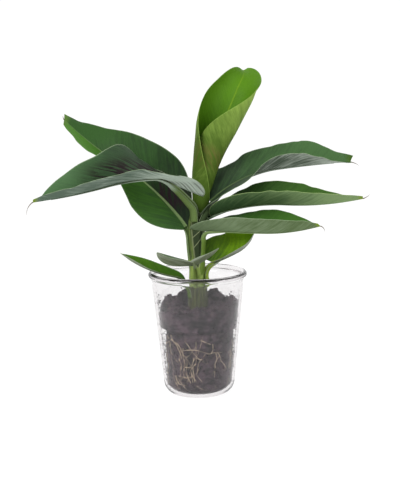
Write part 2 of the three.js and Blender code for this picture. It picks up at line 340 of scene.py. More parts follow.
def heap_height(x, y):
    """Top of the loose peat: a level with round clumps on it, and smaller lumps over them."""
    height = HEAP_LEVEL + 0 * x
    for clump in HEAP_CLUMPS:
        away = np.hypot(x - clump["at"][0], y - clump["at"][1]) / clump["size"]
        height = height + clump["rise"] * np.exp(-(away**4) / 2)
    spot = np.stack([x, y, 0 * x], -1)
    return height + rough(spot, HEAP_LUMPS)


def within_glass(points, gap):
    """Points pulled in towards the middle where they would reach into the glass."""
    out = np.hypot(points[..., 0], points[..., 1])
    pull = np.minimum(1, (bore(points[..., 2]) - gap) / np.maximum(out, 1e-6))
    return points * np.stack([pull, pull, np.ones_like(pull)], -1)


def peat_surface(turns):
    """Rings up the rough root ball, out over its ledge to the glass, and in across the heap."""
    turn = np.linspace(0, 2 * np.pi, turns, endpoint=False)[None, :]
    low, ball, ledge = VASE["floor"] + PEAT["glass_gap"], PEAT["ball_top"], PEAT["ledge_top"]
    edge = bore(PEAT["brim"])
    rows = PEAT_ROWS
    floor = np.linspace(0, 0.95, rows["floor"])
    over = np.linspace(1, PEAT["ledge_reach"], rows["ledge"])
    shares = np.concatenate([floor, np.ones(rows["side"]), over])
    rise = np.linspace(low, ball, rows["side"])
    heights = np.concatenate([low + 0 * floor, rise, np.linspace(ball, ledge, rows["ledge"])])
    centre = PEAT["ball_centre"]
    radius = PEAT["ball_radius"] * shares[:, None]
    x, y = centre[0] + radius * np.cos(turn), centre[1] + radius * np.sin(turn)
    side = np.stack([x, y, heights[:, None] + 0 * turn], -1)
    brim = heap_height(edge * np.cos(turn), edge * np.sin(turn))
    up = np.linspace(0, 1, rows["wall"])[1:, None]
    x, y = edge * np.cos(turn) + 0 * up, edge * np.sin(turn) + 0 * up
    wall = np.stack([x, y, ledge + up * (brim - ledge)], -1)
    out = np.linspace(1, 0, rows["heap"])[1:, None] * edge
    x, y = out * np.cos(turn), out * np.sin(turn)
    heap = np.stack([x, y, heap_height(x, y)], -1)
    heap[..., 2] += rough(heap, HEAP_GRIT)
    grid = np.concatenate([side, wall, heap])
    out = np.hypot(grid[..., 0], grid[..., 1])[..., None]
    away = grid[..., :2] / np.maximum(out, 1e-6)
    grid[..., :2] += away * rough(grid, SIDE_LUMPS)[..., None] * np.clip(out / 10, 0, 1)
    return within_glass(grid, PEAT["glass_gap"])


def crumb_sizes(crumbs, rng):
    """Random sizes, from the least one up, of which most are small."""
    return crumbs["least"] + crumbs["spread"] * rng.uniform(0, 1, crumbs["count"]) ** 3


def peat_crumbs(seed):
    """Places and sizes of crumbs: strewn evenly on the heap, and stuck to the inside of the glass,
    most of them round its right side and the rest round its left."""
    rng = np.random.default_rng(seed)
    count = HEAP_CRUMBS["count"]
    out = np.sqrt(rng.uniform(0.05, 1, count)) * HEAP_CRUMBS["reach"]
    turn = rng.uniform(0, 2 * np.pi, count)
    x, y = out * np.cos(turn), out * np.sin(turn)
    heap = np.stack([x, y, heap_height(x, y) + rng.uniform(-0.3, 0.8, count)], -1)
    sizes = crumb_sizes(HEAP_CRUMBS, rng)
    count = GLASS_CRUMBS["count"]
    turn = rng.normal(0, 0.8, count)
    on_left = rng.uniform(0, 1, count) < GLASS_CRUMBS["left_share"]
    turn = np.where(on_left, np.pi - 0.7 * turn, turn)
    z = rng.uniform(*GLASS_CRUMBS["levels"], count) + np.maximum(rng.normal(-6, 9, count), 0)
    out = bore(z) - 0.4
    wall = np.stack([out * np.cos(turn), out * np.sin(turn), z], -1)
    return np.concatenate([heap, wall]), np.concatenate([sizes, crumb_sizes(GLASS_CRUMBS, rng)])


def pebbles(places, sizes, seed):
    """Twenty-faced crumbs, each stretched and dented at random, as one array of triangles. Three
    of a crumb's twelve corners make a face where each two of them lie one edge apart."""
    rng = np.random.default_rng(seed)
    gold = (1 + 5**0.5) / 2
    base = np.array([(0, s, t * gold) for s in (1, -1) for t in (1, -1)], float)
    base = np.concatenate([np.roll(base, k, 1) for k in range(3)]) / np.hypot(1, gold)
    corners = len(base)
    edge = 2 / np.hypot(1, gold)
    near = np.linalg.norm(base[:, None] - base[None], axis=-1) < 1.01 * edge
    trios = [
        (a, b, c)
        for a in range(corners)
        for b in range(a + 1, corners)
        for c in range(b + 1, corners)
        if near[a, b] and near[b, c] and near[a, c]
    ]
    trios = [t if np.linalg.det(base[list(t)]) > 0 else t[::-1] for t in trios]
    dent = rng.uniform(0.6, 1.25, (len(places), corners, 1))
    stretch = rng.uniform(0.7, 1.3, (len(places), 1, 3))
    points = places[:, None] + base * dent * stretch * sizes[:, None, None]
    faces = np.array(trios)[None] + corners * np.arange(len(places))[:, None, None]
    return points.reshape(-1, 3), faces.reshape(-1, 3)


def damp_peat():
    """Crumbly dark brown peat: lighter grains, scattered pale fibres, and dark hollows that are
    partly painted shade, as the noise that dents the relief also darkens it.
    """
    material, shade, skin = new_material("damp_peat", {"Specular IOR Level": 0.15})
    broad = shade.grain(14.0, detail=2.0)
    coarse = shade.grain(6.0, detail=1.5)
    fine = shade.grain(2.4, detail=2.0)
    # The coarse noise that makes the relief also darkens its hollows: partly painted shade.
    tone = (broad * 0.5 + coarse * 0.45 + fine * 0.55).rise(0.65, 0.86)
    fibre = shade.grain(3.0, detail=2.0, stretch=(1.6, 1.6, 1)).rise(0.63, 0.73)
    # The peat is made darker low down, where the marks say so.
    tint = (tone * (1 - shade.mark("darker_low"))).colour(PEAT_DARK, PEAT_MID)
    feed(
        shade,
        skin,
        Base_Color=(fibre * 0.5).colour(tint, PEAT_FIBRE),
        Roughness=0.8 + 0.15 * fine,
        Normal=shade.bump(coarse, 0.8),
    )
    return material


PEAT_MATERIAL = damp_peat()
peat_grid = peat_surface(turns=260)
peat_level = peat_grid[..., 2].ravel()
darker_low = np.interp(peat_level, *SIDE_DARKENING) + np.interp(peat_level, *FLOOR_DARKENING)
peat = new_piece(
    "peat_root_ball",
    peat_grid.reshape(-1, 3),
    ring_faces(*peat_grid.shape[:2]),
    {"darker_low": darker_low},
)
close_up(peat)
peat.data.materials.append(PEAT_MATERIAL)
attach(peat, "root")
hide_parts("soil_plug")

crumbs = new_piece("peat_crumbs", *pebbles(*peat_crumbs(seed=11), seed=12))
crumbs.data.materials.append(PEAT_MATERIAL)
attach(crumbs, "root")

# Roots
# Pale wiry roots that run over the root ball where it was pressed against its nursery pot. Each
# one is laid half into the peat. The front ones lie where they show through the glass.
ROOT_THICK = 0.5
ROOT_THIN = 0.2
STRAY_ROOTS = 90
# Stops of each root in degrees of turn from the front, and millimetres of height.
FRONT_ROOTS = [
    [
        (-75, 55), (-60, 55), (-44, 53), (-34, 48), (-29, 42),
        (-27, 35), (-27, 28), (-29, 21), (-44, 14),
    ],
    [(-55, 58), (-47, 53), (-36, 45), (-31, 38)],
    [(-28, 46), (-17, 47), (-6, 47), (6, 45), (15, 43), (21, 44), (37, 43)],
    [(21, 52), (21, 46), (17, 43)],
    [(1, 56), (9, 54), (17, 52)],
    [(29, 44), (33, 41), (35, 36)],
    [(37, 35), (44, 31), (46, 28)],
    [(-26, 31), (-11, 31)],
    [(-12, 31), (-11, 24), (-10, 19), (-8, 15)],
    [(-44, 22), (-42, 17), (-37, 14), (-24, 14), (-13, 14)],
    [(-37, 22), (-21, 21), (-12, 23)],
    [(-6, 14), (-2, 12), (6, 10), (17, 10)],
    [(56, 18), (60, 14), (68, 11)],
    [(-10, 40), (-12, 36), (-13, 33)],
    [(-37, 38), (-33, 32), (-32, 28)],
    [(-71, 49), (-56, 53)],
    [(25, 13), (28, 10)],
    [(8, 43), (2, 38), (-8, 40)],
]
ROOT_COLOUR = (0.34, 0.265, 0.18)
ROOT_SHADE = (0.10, 0.072, 0.052)


def tube(path, radii, sides):
    """Rings of points square to a path, with a radius at each point of it."""
    along = np.gradient(path, axis=0)
    along /= np.linalg.norm(along, axis=1, keepdims=True)
    guide = np.where(np.abs(along[:, 2:]) > 0.9, (1.0, 0, 0), (0, 0, 1.0))
    side = np.cross(guide, along)
    side /= np.linalg.norm(side, axis=1, keepdims=True)
    up = np.cross(along, side)
    turn = np.linspace(0, 2 * np.pi, sides, endpoint=False)[None, :, None]
    ring = side[:, None] * np.cos(turn) + up[:, None] * np.sin(turn)
    return path[:, None] + ring * np.asarray(radii).reshape(-1, 1, 1)


def capped(rings):
    """Points and faces of a skin over rings, with both ends closed by strips of faces."""
    rows, count = rings.shape[:2]
    j = np.arange(count // 2 - 1)
    strip = np.stack([j, count - 1 - j, count - 2 - j, j + 1], -1)[:, ::-1]
    last = (rows - 1) * count + strip[:, ::-1]
    faces = np.concatenate([ring_faces(rows, count), strip, last])
    return rings.reshape(-1, 3), faces


def joined(parts):
    """Several point and face arrays as one."""
    points = np.concatenate([p for p, _ in parts])
    starts = np.cumsum([0] + [len(p) for p, _ in parts[:-1]])
    return points, np.concatenate([f + s for (_, f), s in zip(parts, starts)])


def root_stops(rng):
    """A stray root that wanders down or round the ball from a random place."""
    turn, z = rng.uniform(0, 360), rng.uniform(12, 58)
    slant = rng.uniform(-0.6, 0.6)
    steps = np.arange(rng.integers(4, 7))[:, None]
    wander = rng.normal(0, 5, (len(steps), 2)).cumsum(0) * (0.8, 0.35)
    stops = (turn, z) + steps * (slant * 14, -6.0) + wander
    return np.clip(stops, (-1e3, 8), (1e3, 60))


def on_ball(stops, count, lift):
    """Path over the root ball through stops of turn from the front and height."""
    path = smooth_path(stops, count)
    turn, z = np.radians(path[:, 0]), path[:, 1]
    away = np.stack([np.sin(turn), -np.cos(turn), 0 * turn], -1)
    spot = away * PEAT["ball_radius"] + (*PEAT["ball_centre"], 0)
    spot[:, 2] = z
    spot += away * (rough(spot, SIDE_LUMPS) + lift)[:, None]
    return within_glass(spot, 0.7)


def root_parts(seed):
    """Tubes for the roots that show in front, and thinner seeded ones all round."""
    rng = np.random.default_rng(seed)
    parts = []
    for stops in FRONT_ROOTS:
        path = on_ball(stops, 12 * len(stops), lift=0.45)
        radii = np.linspace(ROOT_THICK, ROOT_THIN, len(path))
        parts.append(capped(tube(path, radii, sides=8)))
    for _ in range(STRAY_ROOTS):
        path = on_ball(root_stops(rng), 40, lift=0.2)
        thick = rng.uniform(0.8 * ROOT_THIN, 0.8 * ROOT_THICK)
        radii = np.linspace(thick, 0.5 * ROOT_THIN, len(path))
        parts.append(capped(tube(path, radii, sides=6)))
    return parts


def root_bark():
    """Pale tan root skin with darker, peat-stained stretches."""
    inputs = {"Specular IOR Level": 0.3, "Roughness": 0.7}
    material, shade, skin = new_material("root_bark", inputs)
    stain = shade.grain(4.0, detail=4.0).rise(0.4, 0.65)
    feed(shade, skin, Base_Color=stain.colour(ROOT_COLOUR, ROOT_SHADE))
    return material


roots = new_piece("roots", *joined(root_parts(seed=21)))
roots.data.materials.append(root_bark())
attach(roots, "root")

# Pseudostem
# The false trunk is a tight roll of leaf sheaths: each wraps the younger ones inside it and ends in
# a thin pale margin. In front the two outer sheaths part, and an inner one shows between, painted
# dark as shade in the recess.
STEM_HEIGHTS = [70, 86, 104, 120, 142, 156, 163, 168, 170]
STEM_RADII = [9.4, 9.2, 8.0, 7.1, 7.4, 7.6, 6.6, 4.0, 1.0]
STEM_RIBS = 34
RIB_HEIGHT = 0.05
SEAM_LEVEL = 120
SEAM_STEP = 0.4
PARTING_DEPTH = 0.7
CREASE_HEIGHT = 0.25
FAR_OFF = 99.0
STEM_LIGHT = (0.26, 0.36, 0.08)
STEM_DARK = (0.065, 0.095, 0.03)
# Painted shade on the inner sheath where the outer sheaths part.
STEM_PARTING_SHADE = (0.030, 0.045, 0.020)
STEM_MARGIN = (0.24, 0.27, 0.14)
# Below the rim: partly a stain, partly painted shade inside the glass.
STEM_STAIN_AND_SHADE = (0.020, 0.020, 0.002)
PARTINGS = [
    {"turn": 3, "low": 117, "high": 150, "left": -40, "right": 48},
    {"turn": 170, "low": 126, "high": 164, "left": -34, "right": 30},
]
SEAMS = [
    {"turn": 95, "twist": 1.1},
    {"turn": -70, "twist": -0.7},
    {"turn": 215, "twist": 0.9},
]
CREASES = [
    {"turn": -33, "height": 144.6, "slope": 0.104},
    {"turn": -22, "height": 135.9, "slope": 0.143},
]


def off_turn(turn, centre):
    """Degrees from a centre, from -180 to 180."""
    return (turn - centre + 180) % 360 - 180


def stem_surface(turns, rows):
    """Rings of the rolled sheaths, by turn from the front. A smooth core carries a step along each
    slanting seam, and sinks where two outer sheaths part in a V. Marks give the distance to the
    nearest margin, the parted places, the creases in them and the height."""
    turn = np.linspace(-180, 180, turns, endpoint=False)[None, :]
    z = np.linspace(STEM_HEIGHTS[0], STEM_HEIGHTS[-1], rows)[:, None]
    core = np.interp(z, STEM_HEIGHTS, STEM_RADII)
    for _ in range(rows // 3):
        core[1:-1] = (core[:-2] + 2 * core[1:-1] + core[2:]) / 4
    out = core + 0 * turn
    inner = 0 * out
    margin = np.full(out.shape, FAR_OFF)
    for seam in SEAMS:
        past = (turn - seam["turn"] - seam["twist"] * (z - SEAM_LEVEL)) % 360
        step = np.clip(past / 7, 0, 1) * (1 - past / 360)
        out = out + SEAM_STEP * (step - 0.5)
        margin = np.minimum(margin, np.radians(np.minimum(past, 360 - past)) * core)
    for parting in PARTINGS:
        share = (z - parting["low"]) / (parting["high"] - parting["low"])
        open_share = np.clip(share, 0, 1) ** 0.5
        away = off_turn(turn, parting["turn"])
        left = away - parting["left"] * open_share
        right = parting["right"] * open_share - away
        inside = np.clip(left / 5, 0, 1) * np.clip(right / 5, 0, 1) * (open_share > 0)
        inner = np.maximum(inner, inside)
        near = np.radians(np.minimum(np.abs(left), np.abs(right))) * core
        near = np.where((z > parting["low"]) & (np.abs(away) < 60), near, FAR_OFF)
        margin = np.where(inside > 0, near, np.minimum(margin, near))
    crease = np.full(out.shape, FAR_OFF)
    for fold in CREASES:
        level = fold["height"] + fold["slope"] * off_turn(turn, fold["turn"])
        near = np.where(np.abs(turn) < 70, np.abs(z - level) * 0.75, FAR_OFF)
        crease = np.minimum(crease, near)
    crease = np.where(inner > 0.3, crease, FAR_OFF)
    angle = np.radians(turn)
    ridge = np.cos(angle * STEM_RIBS + 0.02 * z)
    fold_rise = CREASE_HEIGHT * np.exp(-((crease / 0.5) ** 2))
    out = out - PARTING_DEPTH * inner + RIB_HEIGHT * ridge + fold_rise
    height = z + 0 * turn
    grid = np.stack([out * np.sin(angle), -out * np.cos(angle), height], -1)
    marks = {"margin": margin, "inner": inner, "crease": crease, "ridge": ridge, "height": height}
    return grid, marks


def sheath_skin():
    """Satin sheath: long light and dark green stripes, painted shade where an inner sheath shows,
    painted light low down, pale papery margins and creases, and below the rim a darkening that
    is partly stain and partly painted shade."""
    material, shade, skin = new_material("sheath_skin", {"Specular IOR Level": 0.15})
    stripe = shade.grain(1.8, stretch=(1, 1, 16)).rise(0.33, 0.68)
    blush = shade.grain(14.0, detail=2.0)
    height = shade.mark("height")
    # Painted light: the stem's tone is raised below about 119 mm, under the lowest leaves, and
    # lowered above 127 mm.
    painted_light = 0.5 - height.rise(119, 127) * 0.8
    tone = stripe * 0.75 + shade.mark("ridge") * 0.1 + (blush - 0.5) * 0.9 + painted_light
    tint = tone.colour(STEM_DARK, STEM_LIGHT)
    # Painted shade where an inner sheath shows in a parting, less of it high up.
    tint = (shade.mark("inner") * (0.95 - height.rise(148, 156) * 0.5)).colour(tint, STEM_PARTING_SHADE)
    margin = 1 - shade.mark("margin").rise(0.2, 0.7)
    tint = (margin * 0.7).colour(tint, STEM_MARGIN)
    # Below about 104 mm the stem darkens: partly a stain, partly painted shade inside the glass.
    stain = 1 - (height + (blush - 0.5) * 12).rise(99, 109)
    tint = (stain * (1.0 - stripe * 0.15)).colour(tint, STEM_STAIN_AND_SHADE)
    crease = 1 - shade.mark("crease").rise(0.15, 0.5)
    feed(
        shade,
        skin,
        Base_Color=crease.colour(tint, STEM_MARGIN),
        Roughness=0.42 + 0.15 * stripe,
        Normal=shade.bump(stripe, 0.2),
    )
    return material


stem_grid, stem_marks = stem_surface(turns=240, rows=300)
stem = new_piece("pseudostem_sheaths", *capped(stem_grid), stem_marks)
close_up(stem)
stem.data.materials.append(sheath_skin())
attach(stem, "root")
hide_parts("pseudostem")

# Leaves
# Broad thin blades on channelled stalks. Each half folds up from a midrib, close veins run from it
# to a thin pale margin, and an older tip ends in a dry thread. The stalk's foot clasps the stem.
BLADE_THICK = 0.5
MARGIN_THIN = 0.35
VEIN_GAP = 3.4
VEIN_HEIGHT = 0.02
VEIN_LEAN = 12.0
VEIN_BEND = 13.0
# Slow and quick ripples along the margin: height, size and seed.
LEAF_WAVES = [(1.0, 19.0, 81), (0.45, 7.5, 82)]
WELL_INSIDE = 5.0
FOOT_ROWS = 14
STALK_ARC = 14
STALK_HOLLOW = 6
KEEL_SPAN = (0.14, 0.88)
# The stalk at its foot, root, middle, top, neck and end: shares of its thickness, and degrees.
STALK_FORM = {
    "radius": (0.9, 1.1, 0.95, 0.8, 0.4, 0.12),
    "wing": (30, 40, 42, 30, 8, 5),
    "hollow": (0.2, 0.9, 0.95, 0.7, 0.1, 0.05),
    "low": (0.2, 0.5, 0.7, 0.6, 0.25, 0.1),
    "flat": (1.5, 1.25, 1.05, 1, 1, 1),
}
LEAF_GLOSS = 0.07
BLOTCH_COLOUR = (0.024, 0.012, 0.018)
THREAD_COLOUR = (0.16, 0.13, 0.10)
# What a leaf and each of its halves have unless their own values say otherwise.
LEAF_USUAL = {
    "stations": (0, 0.5, 1),
    "blunt": 0.02,
    "ripple": 1.2,
    "across": 18,
    "sink": 1.2,
    "neck": -0.06,
    "sweep": 0.7,
    "under_span": (0.0, 0.9),
    "under_stir": 1.8,
    "keel": (0.42, 0.52, 0.38),
    "tip": (0.16, 0.24, 0.025),
    "margin": (0.26, 0.33, 0.20),
    "margin_width": 0.7,
}
HALF_USUAL = {"base": 0.1, "rise": 1.0, "lobe": 0, "bend": 1.3, "droop": 0, "ahead": 0}
# A leaf starts at its root on the stem. Pitch, yaw and roll hold there and at the stations, which
# are shares of the blade's length, below 0 on the stalk. A half has a width, folds up from the
# midrib, curls beyond them, heaves along its margin, and a base that sweeps back in a lobe. Colours
# in pairs go from the blade's base to its tip.
LEAVES = {
    "leaf_front_left": {
        "root": (1.3, -8.9, 160.2), "petiole": 42, "blade": 129,
        "stations": (-0.26, -0.2, 0, 0.15, 0.5, 1),
        "pitch": (90, 85, 50, 39, 0, -13, -5.5),
        "yaw": (200, 200, 200, 200, 199.5, 202.5, 197),
        "roll": (-28, -28, -30, -31, -26.5, -24.5, -20.5),
        "left": {
            "width": 34.7, "base": 0.22, "lobe": 25, "bend": 1.2, "droop": -4,
            "at": (0, 0.07, 0.17, 0.34, 0.5, 1), "fold": (49.5, 21.5, 24.5, 45.5, 45.5, 54.5),
            "curl": (26, 15, 6, 1.5, 0.5, 0),
            "heave_at": (0.6, 0.75, 0.9, 1),
            "heave": (-0.5, -1, 1.8, 0),
        },
        "right": {
            "width": 32.8, "lobe": -13, "droop": -2.8, "ahead": -8,
            "at": (0, 0.5, 1), "fold": (-30, 84.5, 23.5),
        },
        "widest": 0.31, "taper": 1.75, "blunt": 0.13,
        "stalk": 4.4, "foot": 2, "sweep": 1.6,
        "top": ((0.036, 0.056, 0.036), (0.064, 0.138, 0.054)),
        # The under colour's pale base is partly painted light, raised against the shade on the near
        # half's lobe.
        "under": ((0.46, 0.54, 0.46), (0.088, 0.13, 0.093)),
        "under_span": (0.12, 0.45),
        "rib": (0.11, 0.165, 0.05), "line": (0.22, 0.28, 0.15),
        "keel": (0.14, 0.19, 0.1),
        "blotch": {"at": 0.32, "spread": 0.42, "reach": 28, "near": 1.0},
        "stain": {"at": 0.03, "spread": 0.05, "colour": (0.06, 0.055, 0.048)},
        "thread": (-5.0, -3.0, -10.5),
    },
    "leaf_right_upper": {
        "root": (1.6, -8.7, 160.2), "petiole": 20.5, "blade": 138.5,
        "pitch": (68, 42.5, 6, 0.5),
        "yaw": (20, 11.5, 6, 17),
        "roll": (-5, -8.5, -1, 16.5),
        "left": {
            "width": 30.6, "base": 0.55, "lobe": -9, "bend": 2.5, "droop": -7.9, "ahead": 0.5,
            "fold": (45.5, 29.5, 47.5),
            "heave_at": (0.1, 0.2, 0.31, 0.42, 0.84, 0.93, 1),
            "heave": (4, -12, 1, 4, 1, -8, 14),
        },
        "right": {
            "width": 24.4, "base": 0.06, "lobe": 15.5,
            "at": (0, 0.12, 0.27, 0.5, 1), "fold": (0, 1.5, -5.5, 43, 14),
            "heave_at": (0.45, 0.6, 0.75, 0.9, 1),
            "heave": (-2, 2.6, 0.2, -1.8, 0),
        },
        "widest": 0.71, "taper": 1.1, "blunt": 0.11, "ripple": 2.0,
        "stalk": 3.8, "foot": 2,
        "top": ((0.023, 0.04, 0.022), (0.062, 0.134, 0.046)),
        "under": ((0.085, 0.115, 0.08), (0.39, 0.44, 0.38)),
        "under_span": (0.3, 0.95), "under_stir": 3.0,
        "rib": (0.045, 0.07, 0.028), "line": (0.1, 0.16, 0.06),
        "tip": (0.075, 0.15, 0.03),
        "blotch": {"at": 0.16, "spread": 0.1, "reach": 6, "near": 0.0},
        "thread": (7.5, 1.0, -3.5),
    },
    "leaf_new_rolled": {
        "root": (2.3, 9.5, 157), "petiole": 6.5, "blade": 151,
        "stations": (0, 0.4, 0.8, 1),
        "pitch": (88, 87, 65, 61.5, 15),
        "yaw": (20, 30, 26, 35, 100),
        "roll": (66, 69, 63, 47, 16),
        "left": {
            "width": 42.3, "base": 0.45,
            "at": (0, 0.4, 0.8, 0.9, 1), "fold": (2, 6, -15, -4, 9),
            "curl": (253, 121, 84, 76, 7),
        },
        "right": {
            "width": 56.3, "base": 0.3, "rise": 1.7,
            "at": (0, 0.4, 0.82, 0.92, 1), "fold": (6, 11, -6, 18, 36),
            "curl": (289, 235, 92, 21, 36),
        },
        "widest": 0.48, "taper": 1.5, "blunt": 0.08, "ripple": 0.5, "across": 44,
        "stalk": 2.0, "foot": 22, "sink": 3.2,
        # The bright top colours are partly the young leaf's own and partly painted light shining
        # through it.
        "top": ((0.055, 0.155, 0.006), (0.085, 0.21, 0.01)),
        "under": ((0.066, 0.12, 0.015), (0.25, 0.38, 0.07)),
        "under_span": (0.28, 0.92), "under_stir": 1.0,
        "rib": (0.15, 0.23, 0.05), "line": (0.23, 0.38, 0.02),
        "tip": (0.1, 0.25, 0.01), "margin": (0.2, 0.31, 0.06), "margin_width": 0.9,
        "stain": {"at": 0.34, "spread": 0.09, "colour": (0.11, 0.085, 0.025)},
    },
    "leaf_right_middle": {
        "root": (0, 0.4, 153.8), "petiole": 12, "blade": 142.5,
        "stations": (0, 0.05, 0.52, 1),
        "pitch": (63.5, 22.5, 20, -3.5, 11.5),
        "yaw": (0, -10.5, -16.5, -4, -3.5),
        "roll": (6, 8.5, 4.5, 5, -0.5),
        "left": {"width": 25.3, "fold": (40, 31, 52, 18), "lobe": -3, "droop": 3, "ahead": -1},
        "right": {
            "width": 24.9, "base": 0.1, "rise": 0.6, "lobe": -5.5, "droop": 3,
            "fold": (41, 47.5, 39, 46),
            "heave_at": (0.15, 0.3, 0.45, 0.6, 0.75),
            "heave": (0, -1, 1.6, -1, 0),
        },
        "widest": 0.47, "taper": 2.0, "blunt": 0.14,
        "stalk": 2.4, "foot": 12,
        "top": ((0.018, 0.046, 0.014), (0.048, 0.118, 0.02)),
        # The under colour's base is raised as painted light against the shadow of the leaf above.
        "under": ((0.06, 0.12, 0.046), (0.18, 0.27, 0.115)),
        "rib": (0.13, 0.19, 0.03),
        "margin": (0.29, 0.39, 0.15),
        "thread": (6.0, 0.5, 3.5),
    },
    "leaf_right_lower": {
        "root": (4.7, -5.2, 141), "petiole": 14.5, "blade": 101,
        "pitch": (113, -2.5, 0, 16),
        "yaw": (-20, -16, -17.5, -10.5),
        "roll": (4, 1.5, 4.5, 4.5),
        "left": {
            "width": 25.7, "base": 0.6, "lobe": 2, "droop": 2.3, "ahead": -4.1,
            "fold": (29, 44, 39),
            "heave_at": (0.15, 0.3, 0.45, 0.6, 0.75, 0.9),
            "heave": (0, -0.7, -0.9, 1.7, 0, -1),
        },
        "right": {
            "width": 25.5, "base": 0.35, "lobe": 17, "bend": 0.6, "droop": 5, "ahead": -1.3,
            "fold": (50.5, 41.5, 48.5),
            "heave_at": (0.15, 0.3, 0.45, 0.6, 0.75, 0.9),
            "heave": (0, 0.8, -0.4, -0.8, 0.3, 0),
        },
        "widest": 0.53, "taper": 1.79, "blunt": 0.17,
        "stalk": 2.4, "foot": 36, "neck": -0.2,
        "top": ((0.026, 0.072, 0.013), (0.05, 0.135, 0.02)),
        # The under colour's bright base is painted light against the shade of the leaves around it.
        "under": ((0.2, 0.27, 0.15), (0.09, 0.138, 0.054)),
        "rib": (0.13, 0.21, 0.035),
        "keel": (0.24, 0.34, 0.09),
        "thread": (4.0, 0, -5.5),
    },
    "leaf_back_left": {
        "root": (-5.2, -3.2, 145.5), "petiole": 10.5, "blade": 155,
        "stations": (0.07, 0.535, 1),
        "pitch": (62, 45.5, 32, 41.5),
        "yaw": (150, 149.5, 164.5, 158.5),
        "roll": (-60, -60.5, -50.5, -30),
        "left": {
            "width": 34.5, "base": 0.08, "rise": 1.7, "lobe": 2.5, "ahead": -4.5,
            "fold": (15, 54, 20),
            "heave_at": (0.21, 0.35, 0.49, 0.63, 0.77, 0.91, 1),
            "heave": (0, -0.6, 0.2, 0.8, -1, 0.6, 0),
        },
        "right": {
            "width": 39, "base": 0.12, "rise": 3.0, "lobe": 6, "ahead": 6.3,
            "at": (0, 0.25, 0.535, 1), "fold": (5, 36, 38.5, -7.5),
            "heave_at": (0.49, 0.61, 0.7, 0.81),
            "heave": (0, 1.4, 0.2, -1.4),
        },
        "widest": 0.31, "taper": 1.48, "blunt": 0.19, "ripple": 2.0,
        "stalk": 3.8, "foot": 40,
        "top": ((0.014, 0.025, 0.013), (0.035, 0.092, 0.022)),
        # Painted light: the near half's top is given lighter colours than the far half's.
        "painted_light_near_top": ((0.036, 0.088, 0.024), (0.074, 0.205, 0.024)),
        "under": ((0.1, 0.15, 0.08), (0.13, 0.19, 0.1)),
        "rib": (0.165, 0.24, 0.075), "line": (0.21, 0.31, 0.12),
        "channel": (0.17, 0.27, 0.08),
        "tip": (0.09, 0.18, 0.03),
        "blotch": {"at": 0.21, "spread": 0.16, "reach": 28, "near": 0.0},
        "thread": (-1.0, 0.5, 4.0),
    },
    "leaf_right_small": {
        "root": (6.6, -3.8, 103.6), "petiole": 22, "blade": 49,
        "pitch": (114, 16, 23, 71.5),
        "yaw": (10, 13, 14, 15),
        "roll": (24, 23, 19.5, 19.5),
        "left": {
            "width": 26, "base": 0.5, "lobe": 12, "bend": 0.8, "ahead": 2.5,
            "fold": (37, 18, 45.5),
        },
        "right": {"width": 23.3, "fold": (37, 40, 44), "lobe": 5, "base": 0.35},
        "widest": 0.41, "taper": 2.4, "blunt": 0.05, "ripple": 0.5,
        "stalk": 2.9, "foot": 7,
        # The top colours are partly painted light: raised against the shadow of the leaf above and
        # for light through the thin blade.
        "top": ((0.05, 0.105, 0.016), (0.22, 0.41, 0.012)),
        "under": ((0.16, 0.2, 0.13), (0.25, 0.27, 0.22)),
        "rib": (0.22, 0.31, 0.045),
    },
    "leaf_left_small": {
        "root": (-4.6, -4, 90.7), "petiole": 15, "blade": 66.3,
        "stations": (0, 0.18, 0.59, 1),
        "pitch": (93, 41.5, 10.5, 24, 41.5),
        "yaw": (180, 181, 182, 183, 184),
        "roll": (-30, -30, -30, -26, -23),
        "left": {"width": 10.2, "fold": (41, 39, 40, 51)},
        "right": {
            "width": 8.6, "lobe": -1.6, "droop": 1.9, "ahead": -1.3,
            "fold": (45, 44, 43, 43.5),
        },
        "widest": 0.55, "taper": 1.9, "ripple": 0.3,
        "stalk": 3.0, "foot": 4,
        "top": ((0.03, 0.085, 0.006), (0.058, 0.15, 0.008)),
        "under": ((0.13, 0.18, 0.09), (0.2, 0.23, 0.16)),
        "rib": (0.055, 0.1, 0.012),
    },
    "leaf_front_small": {
        "root": (-1.2, -6.0, 101.5), "petiole": 23.7, "blade": 58.6,
        "pitch": (90, 27.5, 6, 17),
        "yaw": (-93, -97, -92, -94),
        "roll": (7, 7, 5, 3),
        "left": {"width": 26.3, "fold": (20.5, 22, 25.5)},
        "right": {"width": 32, "fold": (-2, 22, 12), "lobe": -4},
        "widest": 0.43, "taper": 1.83, "ripple": 0.8,
        "stalk": 1.9, "foot": 5,
        "top": ((0.05, 0.1, 0.03), (0.06, 0.12, 0.035)),
        "under": ((0.13, 0.16, 0.09), (0.3, 0.34, 0.26)),
        "rib": (0.16, 0.23, 0.05),
        "keel": (0.26, 0.32, 0.17),
    },
}


def heading(pitch, yaw):
    """Unit vectors at a pitch above level and a yaw from +X towards +Y, in degrees."""
    p, y = np.radians(pitch), np.radians(yaw)
    return np.stack([np.cos(p) * np.cos(y), np.cos(p) * np.sin(y), np.sin(p)], -1)


def eased(at, stations, values, reach=0.09):
    """Values between stations, averaged over a short reach so that they turn without a kink."""
    shifts = np.linspace(-reach, reach, 9)[:, None]
    return np.interp(np.asarray(at)[None] + shifts, stations, values).mean(0)


